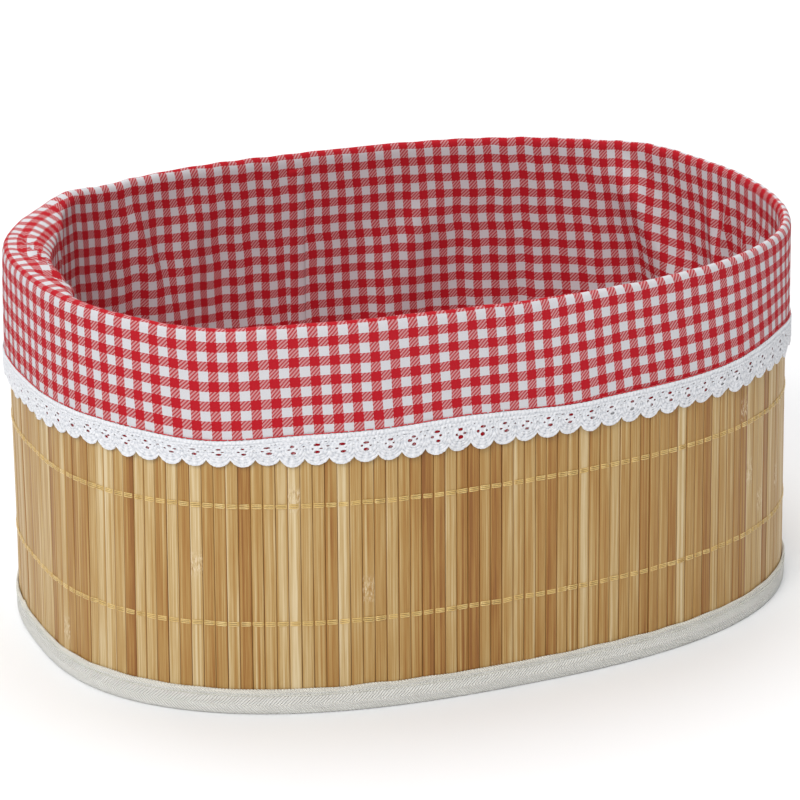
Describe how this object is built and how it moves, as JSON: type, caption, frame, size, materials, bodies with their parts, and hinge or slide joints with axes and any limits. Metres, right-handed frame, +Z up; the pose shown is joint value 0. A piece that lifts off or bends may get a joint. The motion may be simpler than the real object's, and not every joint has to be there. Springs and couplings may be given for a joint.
{
  "type": "bread basket",
  "caption": "Oval basket of upright bamboo slats bound with cotton tape, with a lift-out checked cloth liner whose cuff folds over the rim and ends in scalloped lace.",
  "frame": {"origin": "on the floor under the middle of the oval", "axes": "+X along the basket's length, +Y towards the wall's join at the back, +Z up"},
  "size_m": [0.3426, 0.2444, 0.164],
  "materials": {
    "bamboo": "split bamboo with a thin satin lacquer",
    "gold_thread": "shiny gold polyester thread",
    "steel_wire": "plain drawn wire",
    "cotton_tape": "unbleached cotton tape in a herringbone twill",
    "tape_thread": "matt cotton sewing thread",
    "gingham": "plain-woven cotton in red and white checks",
    "seam_thread": "matt sewing thread",
    "lace": "white cotton crochet lace"
  },
  "bodies": {
    "basket": {"wall_slats_01": "bamboo", "wall_slats_02": "bamboo", "wall_slats_03": "bamboo", "wall_slats_04": "bamboo", "wall_slats_05": "bamboo", "wall_slats_06": "bamboo", "wall_slats_07": "bamboo", "wall_slats_08": "bamboo", "wall_slats_09": "bamboo", "wall_slats_10": "bamboo", "wall_slats_11": "bamboo", "wall_slats_12": "bamboo", "wall_slats_13": "bamboo", "wall_slats_14": "bamboo", "wall_slats_15": "bamboo", "wall_slats_16": "bamboo", "base_slats_01": "bamboo", "base_slats_02": "bamboo", "base_slats_03": "bamboo", "base_slats_04": "bamboo", "wall_thread_low": "gold_thread", "wall_thread_middle": "gold_thread", "wall_thread_high": "gold_thread", "base_threads": "gold_thread", "wall_join_tape": "cotton_tape", "foot_hoop": "steel_wire", "foot_tape": "cotton_tape", "foot_tape_stitch": "tape_thread", "foot_inner_tape": "cotton_tape", "rim_hoop": "steel_wire", "rim_tape": "cotton_tape", "rim_tape_stitch": "tape_thread"},
    "liner": {"liner_wall": "gingham", "liner_wall_seam": "gingham", "liner_bottom": "gingham", "liner_bottom_seam": "gingham", "liner_rim_fold": "gingham", "liner_cuff": "gingham", "cuff_hem_stitch": "seam_thread", "lace_heading": "lace", "lace_mesh": "lace", "lace_scallops": "lace"}
  },
  "joints": [
    {"name": "liner_lift", "type": "slide", "parent": "basket", "child": "liner", "axis": [0, 0, 1], "range_m": [0, 0.175]}
  ]
}
